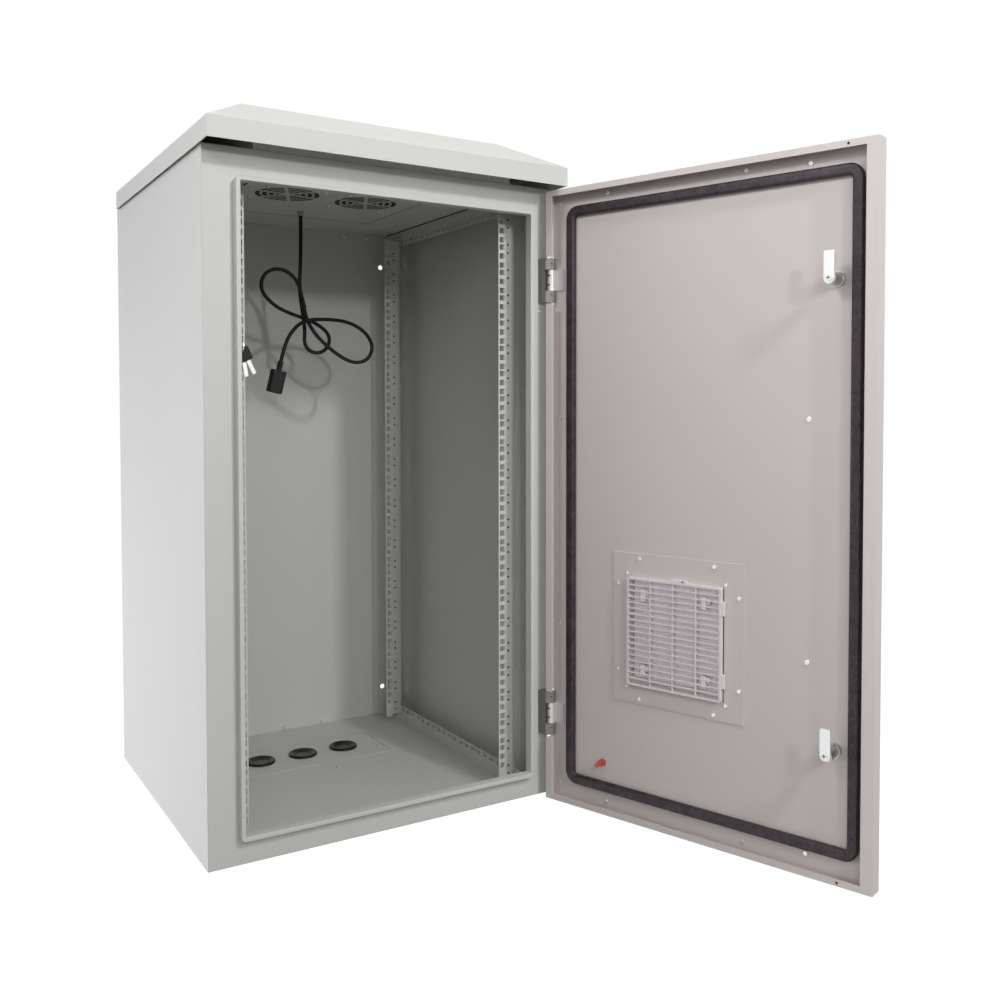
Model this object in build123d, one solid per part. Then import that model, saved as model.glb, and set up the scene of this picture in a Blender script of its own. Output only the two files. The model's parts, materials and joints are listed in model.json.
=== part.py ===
from build123d import *
import math
import os

os.makedirs("parts", exist_ok=True)

# Body shell
body_width = 600
body_depth = 600
body_height = 1070
sheet = 1.5

# Wall fixing holes in the back panel
wall_side_inset = 50
wall_low_z = 62
wall_high_drop = 72
wall_hole_radius = 5.25

# Front frame and sealing collar
frame_margin_free = 46
frame_margin_hinge = 37
frame_margin_top = 43.5
frame_margin_bottom = 38.5
collar_thickness = 7
collar_proud = 15
collar_inward = 2
collar_corner = 8.5
collar_edge_round = 1.2
frame_edge_round = 1.2

# Door pan, closed position
door_hinge_gap = 4
door_free_gap = 9
door_low = 1.5
door_head_gap = 10
door_depth = 24
door_gap = 3
door_hinge_lip = 13
door_free_lip = 18
door_end_lip = 10
gasket_width = 17
gasket_shift = 5
gasket_corner = 14
gasket_crown = 4
seal_clearance = 0.3

# Hinges
hinge_axis_proud = 18
hinge_upper_drop = 162
hinge_lower_z = 149
hinge_height = 76
hinge_middle = 36
hinge_gap = 0.5
hinge_knuckle = 7
hinge_pin_radius = 3
hinge_pin_extra = 2
hinge_plate = 2.5
hinge_neck_width = 16
hinge_neck_taper = 3
hinge_neck_rise = 2
hinge_web_gap = 2.5
hinge_web_reach = 5
hinge_groove = 0.6
hinge_groove_height = 1.2
hinge_groove_half = 8
hinge_door_reach = 24
hinge_run_clearance = 0.05
hinge_notch_clearance = 3
hinge_screw_radius = 4
hinge_screw_height = 2
hinge_screw_inset = 11
hinge_screw_pitch_share = 0.62
door_open_angle = 107.7

# Rack rails
rack_units = 22
rack_unit = 44.45
rack_hole_pitch = 15.875
rack_side_inset = 67.45
rack_hole_side = 9.5
rack_holes_per_unit = 3
rail_front_y = 43
rail_rear_gap = 80
rail_gauge = 2
rail_inner_land = 7.5
rail_outer_land = 5.85
rail_step = 10
rail_strip = 24.5
rail_return = 27
rail_low_z = 16
rail_head_gap = 24

# Depth bars
bar_height = 32
bar_shelf = 30
bar_front_y = 30
bar_rear_gap = 10
bar_slot_count = 22
bar_slot_gaps = 20
bar_slot_length = 14
bar_slot_height = 7
rail_bolt_inset = 22
rail_bolt_lift = 14
rail_bolt_radius = 3
rail_bolt_head = 5.5
rail_bolt_head_height = 4
rail_bolt_nut_height = 5

# Roof hood
hood_side_overhang = 6
hood_front_overhang = 53
hood_rear_gap = 23
hood_lap = 3.5
hood_fascia = 31
hood_rise = 51
hood_side_run = 79.5
hood_end_run = 102
hood_rear_clearance = 0.5
support_side_inset = 3.5
support_front_y = 2
support_rear_gap = 60
support_wall = 30
support_cheek_inset = 12
support_flange = 15

# Fans and fan tray
fan_side = 120
fan_depth = 25
fan_half_spacing = 75
fan_centre_y = 275
fan_bore_radius = 57
fan_hub_radius = 20
fan_hub_plate = 4
fan_strut_width = 6
fan_struts = 4
fan_shaft_radius = 3
fan_running_gap = 0.5
fan_blades = 7
fan_blade_gauge = 1.6
fan_blade_pitch = 40
fan_tip_gap = 1.5
fan_screw_half_pitch = 52.5
fan_screw_radius = 4
fan_screw_height = 2.5
tray_half_width = 163
tray_front_y = 190
tray_rear_y = 468
tray_opening_half_width = 140
tray_opening_margin = 10
grille_rings = 4
grille_first_radius = 12
grille_slot = 8.5
grille_bridge = 3.5
grille_spoke = 6
grille_spokes = 3
grille_spoke_angle = 8

# Floor gland plate and grommets
plate_half_width = 158
plate_front_y = 352
plate_rear_y = 490
plate_gauge = 0.5
plate_cut_margin = 22
plate_screw_inset = 8
plate_screw_half_pitch = 31
plate_screw_radius = 4
plate_screw_height = 2.2
grommet_pitch = 84.5
grommet_y = 423
grommet_neck = 24
grommet_flange = 27.5
grommet_rise = 5
grommet_rim = 5
grommet_web = 1.5
grommet_count = 3

# Vent in the door, its place a share of the door's width from the hinge edge
vent_place_share = 0.429302
vent_z = 320.5
vent_plate_width = 245
vent_plate_height = 250
vent_hole = 164
vent_frame_width = 176
vent_frame_height = 179
vent_frame_shift = 2
vent_frame_drop = 4
vent_frame_depth = 8
vent_frame_border = 3.5
vent_frame_corner = 3.4
vent_columns = 4
vent_rows = 18
vent_rib = 2.2
vent_bar = 2.2
vent_mat_clearance = 2
vent_mat_depth = 7
louvre_side = 190
louvre_depth = 14
louvre_border = 15
louvre_blades = 8
louvre_blade_gauge = 2
louvre_blade_tilt = 35
louvre_blade_share = 0.95
vent_screw_radius = 3.5
vent_screw_height = 2
vent_screw_short = 70
vent_screw_long = 116.5
vent_screw_near = 114
vent_screw_mid = 72
filter_screw_gap = 5
filter_screw_radius = 3
filter_screw_height = 1.6

# Door rivets and earth stud, measured from the door's hinge edge
rivet_radius = 4
rivet_height = 1.8
rivet_u_near = 13
rivet_free_inset = 110
rivet_rows = [26, 311, 669]
rivet_top_drop = 29
rivet_edge_us = [115, 373]
rivet_edge_inset = 13
earth_u = 107
earth_z = 81
earth_radius = 4
earth_height = 20
earth_nut_radius = 7
earth_nut_height = 6

# Cam locks, measured from the door's hinge edge
lock_free_inset = 66.5
lock_upper_drop = 201
lock_lower_z = 190
lock_barrel_radius = 9.5
lock_flange_radius = 14
lock_flange_height = 4
lock_nut_radius = 10.8
lock_nut_height = 6
lock_plug_radius = 6.5
lock_plug_gap = 0.3
lock_plug_inset = 1
lock_keyway_length = 7
lock_keyway_width = 1.6
lock_keyway_depth = 8
cam_clearance = 4
cam_gauge = 2.5
cam_width = 16
cam_reach = 38.5
cam_tip_round = 2.5
cam_screw_radius = 5
cam_screw_height = 3
cam_bolt_gap = 0.5

# Fan cord
cord_radius = 3.5
cord_bend_share = 0.45
cord_gland_x = 0
cord_gland_y = 414
gland_hex_radius = 7
gland_hex_height = 4
gland_cap_radius = 5.5
gland_cap_height = 5
gland_thread_radius = 5
gland_hole_gap = 0.4
gland_top_height = 5
relief_radius = 5.5
relief_height = 18
relief_rings = 4
relief_groove = 1.2
relief_groove_share = 0.5
plug_width = 27
plug_thick = 20
plug_height = 42
plug_corner = 4
plug_cavity_width = 20
plug_cavity_thick = 13
plug_cavity_depth = 17
plug_pin_width = 4
plug_pin_thick = 2
plug_pin_length = 14
plug_pin_pitch = 6.5
plug_pin_offset = 2.5
tie_drop = 176
tie_height = 4
tie_gauge = 1.2
tie_bite = 0.2
tie_first_index = 3
tie_second_index = 18
cord_route = [
    (0, 0, 0), (0, 0, -42), (-1, 0, -92), (-4, 0, -142), (3, 0, -188), (7, -1, -222), (4, -2, -248),
    (19, -3, -264), (41, -5, -263), (55, -7, -246), (52, -9, -224), (20, -11, -203), (-24, -13, -192),
    (-62, -15, -176), (-88, -17, -147), (-78, -19, -114), (-45, -20, -105), (-16, -22, -125),
    (-6, -23, -160), (2, -24, -205), (24, -26, -236), (54, -28, -262), (92, -30, -284), (125, -32, -278),
    (137, -33, -248), (117, -34, -219), (80, -35, -202), (34, -36, -200), (-8, -36, -204), (-33, -36, -226),
    (-47, -36, -255), (-54, -36, -284)]

# Keys on the left front rail
key_hole_index = 15
ring_radius = 7
ring_wire = 0.9
ring_gauge = 1.6
ring_seat = 0.01
ring_inset = 3.5
key_gauge = 1.2
key_head_width = 18
key_head_height = 22
key_head_corner = 4
key_head_gauge = 1.8
key_eye_radius = 2.8
key_eye_inset = 3.8
key_socket_depth = 8
key_blade_width = 6
key_blade_length = 22
key_front_gap = 0.3
key_lean_near = 8
key_lean_far = 26

# Shared shapes and angles
right_angle = 90
full_turn = 360
hex_sides = 6
head_sides = 10

# Derived sizes
half_width = body_width / 2
inner_half_width = half_width - sheet
door_reach_hinge = half_width - door_hinge_gap
door_reach_free = half_width - door_free_gap
door_high = body_height - door_head_gap
door_width = door_reach_hinge + door_reach_free
lock_u = door_width - lock_free_inset
vent_u = door_width * vent_place_share
rivet_u_far = door_width - rivet_free_inset
rack_hole_half_spacing = half_width - rack_side_inset
hinge_axis_x = door_reach_hinge
hinge_axis_y = -hinge_axis_proud
hinge_upper_z = body_height - hinge_upper_drop
rail_rear_y = body_depth - rail_rear_gap
rail_high_z = body_height - rail_head_gap
rack_centre_z = (rail_low_z + rail_high_z) / 2
bar_rear_y = body_depth - bar_rear_gap
hood_half_width = half_width + hood_side_overhang
hood_front_y = -hood_front_overhang
hood_rear_y = body_depth - hood_rear_gap
hood_low_z = body_height - hood_lap
hood_flat_half_width = hood_half_width - hood_side_run
hood_flat_front_y = hood_front_y + hood_end_run
hood_flat_rear_y = hood_rear_y - hood_end_run
support_half_width = hood_flat_half_width - support_side_inset
support_rear_y = body_depth - support_rear_gap
lock_zs = {"upper": body_height - lock_upper_drop, "lower": lock_lower_z}
inner_back_y = body_depth - sheet
ceiling_z = body_height - sheet
tray_z = ceiling_z - sheet
collar_free_x = frame_margin_free - half_width
collar_hinge_x = half_width - frame_margin_hinge
collar_centre_x = (collar_free_x + collar_hinge_x) / 2
collar_half_x = (collar_hinge_x - collar_free_x) / 2
collar_low_z = frame_margin_bottom
collar_high_z = body_height - frame_margin_top
collar_centre_z = (collar_low_z + collar_high_z) / 2
collar_out_height = collar_high_z - collar_low_z
skin_out_y = -door_gap - door_depth
skin_in_y = skin_out_y + sheet
rim_y = -door_gap
door_centre_z = (door_low + door_high) / 2
wall_high_z = body_height - wall_high_drop
wall_x = half_width - wall_side_inset
rack_height = rack_units * rack_unit
rack_low_z = rack_centre_z - rack_height / 2
rail_out_x = rack_hole_half_spacing + rail_outer_land + rail_strip
bar_slot_pitch = (rail_rear_y - rail_front_y) / bar_slot_gaps
hood_fascia_top = hood_low_z + hood_fascia
hood_top = hood_fascia_top + hood_rise
cam_y = collar_inward + cam_clearance
lock_barrel_end = cam_y - cam_bolt_gap


def block(x0, x1, y0, y1, z0, z1):
    return Pos((x0 + x1) / 2, (y0 + y1) / 2, (z0 + z1) / 2) * Box(x1 - x0, y1 - y0, z1 - z0)


def rod(point, direction, radius, length):
    place = Plane(origin=point, z_dir=direction)
    return place * Cylinder(radius, length, align=(Align.CENTER, Align.CENTER, Align.MIN))


def hex_rod(point, direction, radius, length):
    place = Plane(origin=point, z_dir=direction)
    return extrude(place * RegularPolygon(radius, hex_sides), amount=length)


def small_head(point, direction, radius, height):
    place = Plane(origin=point, z_dir=direction)
    return extrude(place * RegularPolygon(radius, head_sides), amount=height)


to_origin = Pos(0, -body_depth / 2, 0)
swing = Pos(hinge_axis_x, hinge_axis_y, 0) * Rot(0, 0, door_open_angle) * Pos(-hinge_axis_x, -hinge_axis_y, 0)
FRONT = (0, -1, 0)
BACK = (0, 1, 0)
UP = (0, 0, 1)
DOWN = (0, 0, -1)
LEFT = (-1, 0, 0)
RIGHT = (1, 0, 0)


def save(shape, node):
    export_step(to_origin * shape, "parts/" + node + ".step")


def save_door(shape, node):
    save(swing * shape, node)


def group(shapes):
    return Compound(children=list(shapes))


def mirrored(shape):
    return mirror(shape, about=Plane.YZ)


# Body panels
side_right = block(inner_half_width, half_width, sheet, body_depth, 0, body_height)
save(side_right, "side_panel_right")
save(mirrored(side_right), "side_panel_left")

back = block(-inner_half_width, inner_half_width, inner_back_y, body_depth, 0, body_height)
wall_points = [(x, z) for x in (-wall_x, wall_x) for z in (wall_low_z, wall_high_z)]
back -= [rod((x, inner_back_y, z), BACK, wall_hole_radius, sheet) for x, z in wall_points]
save(back, "back_panel")

grommet_xs = [(i - (grommet_count - 1) / 2) * grommet_pitch for i in range(grommet_count)]
floor = block(-inner_half_width, inner_half_width, sheet, inner_back_y, 0, sheet)
floor -= block(-plate_half_width + plate_cut_margin, plate_half_width - plate_cut_margin,
               plate_front_y + plate_cut_margin, plate_rear_y - plate_cut_margin, 0, sheet)
save(floor, "floor_panel")

gland_plate = block(-plate_half_width, plate_half_width, plate_front_y, plate_rear_y, sheet,
                    sheet + plate_gauge)
gland_plate -= [rod((x, grommet_y, sheet), UP, grommet_neck, plate_gauge) for x in grommet_xs]
save(gland_plate, "gland_plate")

plate_top = sheet + plate_gauge
plate_centre_y = (plate_front_y + plate_rear_y) / 2
plate_screw_x = plate_half_width - plate_screw_inset
plate_screws = [small_head((x, y, plate_top), UP, plate_screw_radius, plate_screw_height)
                for x in (-plate_screw_x, plate_screw_x)
                for y in (plate_centre_y - plate_screw_half_pitch, plate_centre_y + plate_screw_half_pitch)]
save(group(plate_screws), "gland_plate_screws")


def grommet(x):
    base = plate_top
    shape = rod((x, grommet_y, sheet), UP, grommet_neck, plate_gauge)
    shape += rod((x, grommet_y, base), UP, grommet_flange, grommet_rise)
    hollow = Pos(x, grommet_y, sheet + grommet_web) * Cone(
        grommet_neck - grommet_rim - grommet_rim, grommet_flange - grommet_rim,
        plate_gauge + grommet_rise - grommet_web,
        align=(Align.CENTER, Align.CENTER, Align.MIN))
    shape -= hollow
    rim = shape.faces().sort_by(Axis.Z)[-1]
    return chamfer(rim.outer_wire().edges(), grommet_web)


save(group([grommet(x) for x in grommet_xs]), "cable_grommets")

# Front frame with folded collar
frame = block(-half_width, half_width, 0, sheet, 0, body_height)
frame = fillet(frame.faces().sort_by(Axis.Y)[0].edges(), frame_edge_round)


def rounded_ring(half_x, height, corner, thickness, centre_z, y0, y1, centre_x=0):
    place = Plane(origin=(centre_x, y0, centre_z), x_dir=(1, 0, 0), z_dir=BACK)
    outer = RectangleRounded(half_x + half_x, height, corner)
    inner = RectangleRounded(half_x + half_x - thickness - thickness, height - thickness - thickness,
                             corner - thickness)
    return extrude(place * (outer - inner), amount=y1 - y0)


def rounded_slab(half_x, height, corner, centre_z, y0, y1, centre_x=0):
    place = Plane(origin=(centre_x, y0, centre_z), x_dir=(1, 0, 0), z_dir=BACK)
    return extrude(place * RectangleRounded(half_x + half_x, height, corner), amount=y1 - y0)


collar = rounded_ring(collar_half_x, collar_out_height, collar_corner, collar_thickness, collar_centre_z,
                      -collar_proud, collar_inward, collar_centre_x)
collar = fillet(collar.faces().sort_by(Axis.Y)[0].edges(), collar_edge_round)
frame -= rounded_slab(collar_half_x - collar_thickness / 2, collar_out_height - collar_thickness,
                      collar_corner - collar_thickness / 2, collar_centre_z, 0, sheet, collar_centre_x)
frame += collar
save(frame, "front_frame")

# Top panel and fan tray
fan_xs = (-fan_half_spacing, fan_half_spacing)
gland_hole = rod((cord_gland_x, cord_gland_y, tray_z), UP, gland_thread_radius + gland_hole_gap,
                 sheet + sheet)
top = block(-inner_half_width, inner_half_width, sheet, inner_back_y, ceiling_z, body_height)
top -= block(-tray_opening_half_width, tray_opening_half_width,
             fan_centre_y - fan_side / 2 - tray_opening_margin,
             fan_centre_y + fan_side / 2 + tray_opening_margin, ceiling_z, body_height)
top -= gland_hole
save(top, "top_panel")


def grille(x):
    place = Plane(origin=(x, fan_centre_y, tray_z), z_dir=UP)
    cuts = None
    for i in range(grille_rings):
        inner = grille_first_radius + i * (grille_slot + grille_bridge)
        slot = Circle(inner + grille_slot) - Circle(inner)
        cuts = slot if cuts is None else cuts + slot
    spoke = Rectangle(fan_side, grille_spoke)
    for i in range(grille_spokes):
        turn = grille_spoke_angle + i * full_turn / (grille_spokes + grille_spokes)
        cuts -= Rot(0, 0, turn) * spoke
    return extrude(place * cuts, amount=sheet)


tray = block(-tray_half_width, tray_half_width, tray_front_y, tray_rear_y, tray_z, ceiling_z)
for x in fan_xs:
    tray -= grille(x)
tray -= gland_hole
save(tray, "fan_tray")

fan_screw_points = [(x + a, fan_centre_y + b) for x in fan_xs
                    for a in (-fan_screw_half_pitch, fan_screw_half_pitch)
                    for b in (-fan_screw_half_pitch, fan_screw_half_pitch)]
fan_screws = [small_head((x, y, tray_z), DOWN, fan_screw_radius, fan_screw_height)
              for x, y in fan_screw_points]
save(group(fan_screws), "fan_screws")


# Fans
def fan_housing(x):
    low = ceiling_z
    shape = block(x - fan_side / 2, x + fan_side / 2, fan_centre_y - fan_side / 2,
                  fan_centre_y + fan_side / 2, low, low + fan_depth)
    shape -= rod((x, fan_centre_y, low), UP, fan_bore_radius, fan_depth)
    strut = block(-fan_bore_radius - fan_tip_gap, fan_bore_radius + fan_tip_gap, -fan_strut_width / 2,
                  fan_strut_width / 2, 0, fan_hub_plate)
    for i in range(fan_struts // 2):
        shape += Pos(x, fan_centre_y, low) * Rot(0, 0, i * full_turn / fan_struts) * strut
    shape += rod((x, fan_centre_y, low), UP, fan_hub_radius, fan_hub_plate)
    shape += rod((x, fan_centre_y, low + fan_hub_plate), UP, fan_shaft_radius, fan_depth / 2)
    return shape


def fan_rotor(x):
    low = ceiling_z + fan_hub_plate + fan_running_gap
    height = fan_depth - fan_hub_plate - fan_running_gap - fan_running_gap
    tip = fan_bore_radius - fan_tip_gap
    hub = Cylinder(fan_hub_radius, height, align=(Align.CENTER, Align.CENTER, Align.MIN))
    blade = Pos((tip + fan_shaft_radius) / 2, 0, height / 2) * Rot(fan_blade_pitch, 0, 0) * Box(
        tip - fan_shaft_radius, height + height, fan_blade_gauge)
    shape = hub
    for i in range(fan_blades):
        shape += Rot(0, 0, i * full_turn / fan_blades) * blade
    shape &= Cylinder(tip, height, align=(Align.CENTER, Align.CENTER, Align.MIN))
    shape -= Cylinder(fan_shaft_radius + hinge_run_clearance, fan_depth / 2,
                      align=(Align.CENTER, Align.CENTER, Align.MIN))
    return Pos(x, fan_centre_y, low) * shape


for name, x in (("left", -fan_half_spacing), ("right", fan_half_spacing)):
    save(fan_housing(x), "fan_housing_" + name)
    save(fan_rotor(x), "fan_rotor_" + name)

# Roof hood and its support
hood_mid_y = (hood_front_y + hood_rear_y) / 2
flat_mid_y = (hood_flat_front_y + hood_flat_rear_y) / 2
fascia_base = Pos(0, hood_mid_y, hood_fascia_top) * Rectangle(hood_half_width * 2, hood_rear_y - hood_front_y)
flat_length = hood_flat_rear_y - hood_flat_front_y
flat_top = Pos(0, flat_mid_y, hood_top) * Rectangle(hood_flat_half_width * 2, flat_length)
hood = block(-hood_half_width, hood_half_width, hood_front_y, hood_rear_y, hood_low_z, hood_fascia_top)
hood += loft([fascia_base, flat_top])
hood = offset(hood, amount=-sheet, openings=hood.faces().sort_by(Axis.Z)[0])
hood -= block(-half_width - hood_rear_clearance, half_width + hood_rear_clearance,
              hood_rear_y - sheet - sheet, hood_rear_y + sheet, hood_low_z - sheet, body_height)
save(hood, "roof_hood")

wall_top = body_height + support_wall
hood_inside = hood_top - sheet
support = block(-support_half_width, support_half_width, support_front_y, support_rear_y, body_height,
                wall_top)
support -= block(-support_half_width + sheet, support_half_width - sheet, support_front_y + sheet,
                 support_rear_y - sheet, body_height, wall_top)
cheek_y0 = hood_flat_front_y + support_cheek_inset
cheek_y1 = hood_flat_rear_y - support_cheek_inset
cheek = block(support_half_width - sheet, support_half_width, cheek_y0, cheek_y1, body_height, hood_inside)
cheek += block(support_half_width - support_flange, support_half_width, cheek_y0, cheek_y1,
               hood_inside - sheet, hood_inside)
support += cheek
support += mirrored(cheek)
save(support, "hood_support_frame")


# Rack rails
def rack_hole_heights():
    heights = []
    for unit in range(rack_units):
        for i in range(rack_holes_per_unit):
            middle = rack_low_z + (unit + 1) * rack_unit - rack_unit / 2
            heights.append(middle + (i - (rack_holes_per_unit - 1) / 2) * rack_hole_pitch)
    return heights


def rail(front):
    x_in = rack_hole_half_spacing - rail_inner_land
    x_step = rack_hole_half_spacing + rail_outer_land
    face = block(x_in, x_step, front, front + rail_gauge, rail_low_z, rail_high_z)
    half = rack_hole_side / 2
    cutters = [block(rack_hole_half_spacing - half, rack_hole_half_spacing + half, front, front + rail_gauge,
                     z - half, z + half) for z in rack_hole_heights()]
    face -= cutters
    deep = front + rail_step
    rest = block(x_step - rail_gauge, x_step, front + rail_gauge, deep + rail_gauge, rail_low_z, rail_high_z)
    rest += block(x_step, rail_out_x, deep, deep + rail_gauge, rail_low_z, rail_high_z)
    wall = block(rail_out_x - rail_gauge, rail_out_x, deep + rail_gauge, deep + rail_return, rail_low_z,
                 rail_high_z)
    for z in (rail_bolt_z_low, rail_bolt_z_high):
        hole_start = (rail_out_x - rail_gauge, front + rail_bolt_inset, z)
        wall -= rod(hole_start, RIGHT, rail_bolt_radius, rail_gauge)
    rest += wall
    return face + rest


bar_low_z = sheet
rail_bolt_z_low = bar_low_z + bar_height - rail_bolt_lift / 2
rail_bolt_z_high = ceiling_z - bar_height + rail_bolt_lift / 2
for name, y in (("front", rail_front_y), ("rear", rail_rear_y)):
    right_rail = rail(y)
    save(right_rail, name + "_rail_right")
    save(mirrored(right_rail), name + "_rail_left")


# Depth bars between the rails
def depth_bar(upper):
    z_shelf = ceiling_z - rail_gauge if upper else bar_low_z
    z0 = ceiling_z - bar_height if upper else bar_low_z
    shape = block(rail_out_x, rail_out_x + rail_gauge, bar_front_y, bar_rear_y, z0, z0 + bar_height)
    z_bolt = rail_bolt_z_high if upper else rail_bolt_z_low
    first = rail_front_y + rail_bolt_inset
    shape -= [block(rail_out_x, rail_out_x + rail_gauge, first + i * bar_slot_pitch - bar_slot_length / 2,
                    first + i * bar_slot_pitch + bar_slot_length / 2, z_bolt - bar_slot_height / 2,
                    z_bolt + bar_slot_height / 2) for i in range(bar_slot_count)]
    shape += block(rail_out_x + rail_gauge, rail_out_x + bar_shelf, bar_front_y, bar_rear_y, z_shelf,
                   z_shelf + rail_gauge)
    return shape


for name, upper in (("upper", True), ("lower", False)):
    bar = depth_bar(upper)
    save(bar, "depth_bar_" + name + "_right")
    save(mirrored(bar), "depth_bar_" + name + "_left")


def rail_bolt(y, z):
    head_x = rail_out_x - rail_gauge
    nut_x = rail_out_x + rail_gauge
    head = hex_rod((head_x, y, z), LEFT, rail_bolt_head, rail_bolt_head_height)
    head += rod((head_x, y, z), RIGHT, rail_bolt_radius, rail_gauge)
    nut = hex_rod((nut_x, y, z), RIGHT, rail_bolt_head, rail_bolt_nut_height)
    return [head, nut]


bolts = []
for y in (rail_front_y + rail_bolt_inset, rail_rear_y + rail_bolt_inset):
    for z in (rail_bolt_z_low, rail_bolt_z_high):
        for piece in rail_bolt(y, z):
            bolts.append(piece)
            bolts.append(mirrored(piece))
save(group(bolts), "rail_bolts")

# Door panel, built closed and swung open
door_hinge_x = door_reach_hinge
door_free_x = -door_reach_free


def door_x(u):
    return door_hinge_x - u


door = block(door_free_x, door_hinge_x, skin_out_y, rim_y, door_low, door_high)
door -= block(door_free_x + sheet, door_hinge_x - sheet, skin_in_y, rim_y - sheet, door_low + sheet,
              door_high - sheet)
door -= block(door_free_x + door_free_lip, door_hinge_x - door_hinge_lip, rim_y - sheet, rim_y,
              door_low + door_end_lip, door_high - door_end_lip)
notch_half = hinge_height / 2 + hinge_notch_clearance
for z in (hinge_upper_z, hinge_lower_z):
    door -= block(door_hinge_x - door_hinge_lip - sheet, door_hinge_x + sheet, skin_in_y, rim_y + sheet,
                  z - notch_half, z + notch_half)
vent_x = door_x(vent_u)
vent_half = vent_hole / 2
vent_cut = block(vent_x - vent_half, vent_x + vent_half, skin_out_y, skin_in_y, vent_z - vent_half,
                 vent_z + vent_half)
door -= vent_cut
door -= [rod((door_x(lock_u), skin_out_y, z), BACK, lock_barrel_radius, sheet) for z in lock_zs.values()]
save_door(door, "door_panel")

# Gasket facing the collar
gasket_half_x = collar_half_x - collar_thickness / 2 + gasket_width / 2
gasket_height_z = collar_out_height - collar_thickness + gasket_width
gasket_top_y = -collar_proud - seal_clearance
gasket = rounded_ring(gasket_half_x, gasket_height_z, gasket_corner + gasket_width / 2, gasket_width,
                      collar_centre_z, skin_in_y, gasket_top_y, collar_centre_x - gasket_shift)
gasket = fillet(gasket.faces().sort_by(Axis.Y)[-1].edges(), gasket_crown)
save_door(gasket, "door_gasket")

# Vent plate, filter frame, mat and outer louvre
plate_in_y = skin_in_y + sheet
vent_plate = block(vent_x - vent_plate_width / 2, vent_x + vent_plate_width / 2, skin_in_y, plate_in_y,
                   vent_z - vent_plate_height / 2, vent_z + vent_plate_height / 2)
vent_plate -= block(vent_x - vent_half, vent_x + vent_half, skin_in_y, plate_in_y, vent_z - vent_half,
                    vent_z + vent_half)
save_door(vent_plate, "vent_plate")

screw_points = []
for a in (-1, 1):
    for b in (-1, 1):
        screw_points.append((vent_x + a * vent_screw_short, vent_z + b * vent_screw_long))
        screw_points.append((vent_x + a * vent_screw_near, vent_z + b * vent_screw_mid))
vent_screws = [small_head((x, plate_in_y, z), BACK, vent_screw_radius, vent_screw_height)
               for x, z in screw_points]
save_door(group(vent_screws), "vent_plate_screws")


def filter_grid():
    half_x = vent_frame_width / 2
    half_z = vent_frame_height / 2
    shape = block(-half_x, half_x, 0, vent_frame_depth, -half_z, half_z)
    shape = fillet(shape.edges().filter_by(Axis.Y), vent_frame_corner)
    span_x = vent_frame_width - vent_frame_border - vent_frame_border
    span_z = vent_frame_height - vent_frame_border - vent_frame_border
    column = (span_x - (vent_columns - 1) * vent_rib) / vent_columns
    row = (span_z - (vent_rows - 1) * vent_bar) / vent_rows
    cutters = []
    for i in range(vent_columns):
        for j in range(vent_rows):
            x0 = -span_x / 2 + i * (column + vent_rib)
            z0 = -span_z / 2 + j * (row + vent_bar)
            cutters.append(block(x0, x0 + column, 0, vent_frame_depth, z0, z0 + row))
    return shape - cutters


filter_x = vent_x + vent_frame_shift
filter_z = vent_z - vent_frame_drop
save_door(Pos(filter_x, plate_in_y, filter_z) * filter_grid(), "filter_frame")
filter_screw_x = vent_frame_width / 2 + filter_screw_gap
filter_screw_z = vent_frame_height / 2 + filter_screw_gap
filter_screws = [small_head((filter_x + a * filter_screw_x, plate_in_y, filter_z + b * filter_screw_z), BACK,
                            filter_screw_radius, filter_screw_height) for a in (-1, 1) for b in (-1, 1)]
save_door(group(filter_screws), "filter_screws")
mat_half = vent_half - vent_mat_clearance
mat = block(vent_x - mat_half, vent_x + mat_half, plate_in_y - vent_mat_depth, plate_in_y, vent_z - mat_half,
            vent_z + mat_half)
mat_out_y = plate_in_y - vent_mat_depth
save_door(mat, "filter_mat")


def louvre():
    half = louvre_side / 2
    open_half = half - louvre_border
    shape = block(-half, half, -louvre_depth, 0, -half, half)
    shape -= block(-open_half, open_half, -louvre_depth, 0, -open_half, open_half)
    pocket = vent_half - vent_mat_clearance / 2
    shape -= block(-pocket, pocket, mat_out_y - skin_out_y - vent_mat_clearance / 2, 0, -pocket, pocket)
    pitch = open_half * 2 / louvre_blades
    front_room = louvre_depth + mat_out_y - skin_out_y - vent_mat_clearance
    tilt = math.radians(louvre_blade_tilt)
    reach = (front_room - louvre_blade_gauge) / math.cos(tilt) * louvre_blade_share
    middle_y = -louvre_depth + front_room / 2
    for i in range(louvre_blades):
        z = -open_half + (i + 1) * pitch - pitch / 2
        blade = Box(open_half * 2, reach, louvre_blade_gauge)
        shape += Pos(0, middle_y, z) * Rot(louvre_blade_tilt, 0, 0) * blade
    return shape


save_door(Pos(vent_x, skin_out_y, vent_z) * louvre(), "vent_louvre")

# Door rivets and earth stud
rivet_heights = rivet_rows + [body_height - rivet_top_drop]
rivet_points = [(u, z) for u in (rivet_u_near, rivet_u_far) for z in rivet_heights]
rivet_ends = (door_low + rivet_edge_inset, door_high - rivet_edge_inset)
rivet_points += [(u, z) for u in rivet_edge_us for z in rivet_ends]
rivets = [small_head((door_x(u), skin_in_y, z), BACK, rivet_radius, rivet_height) for u, z in rivet_points]
save_door(group(rivets), "door_rivets")
earth_point = (door_x(earth_u), skin_in_y, earth_z)
save_door(rod(earth_point, BACK, earth_radius, earth_height), "earth_stud")
earth_nut = hex_rod(earth_point, BACK, earth_nut_radius, earth_nut_height)
earth_nut -= rod(earth_point, BACK, earth_radius, earth_nut_height)
save_door(earth_nut, "earth_nut")

# Hinges: leaf on the frame with two ears, pin, leaf on the door
ear_height = (hinge_height - hinge_middle) / 2 - hinge_gap
neck_x = hinge_axis_x - hinge_neck_width
brow_x = neck_x + hinge_neck_taper
back_x = hinge_axis_x + hinge_knuckle / 2


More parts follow.
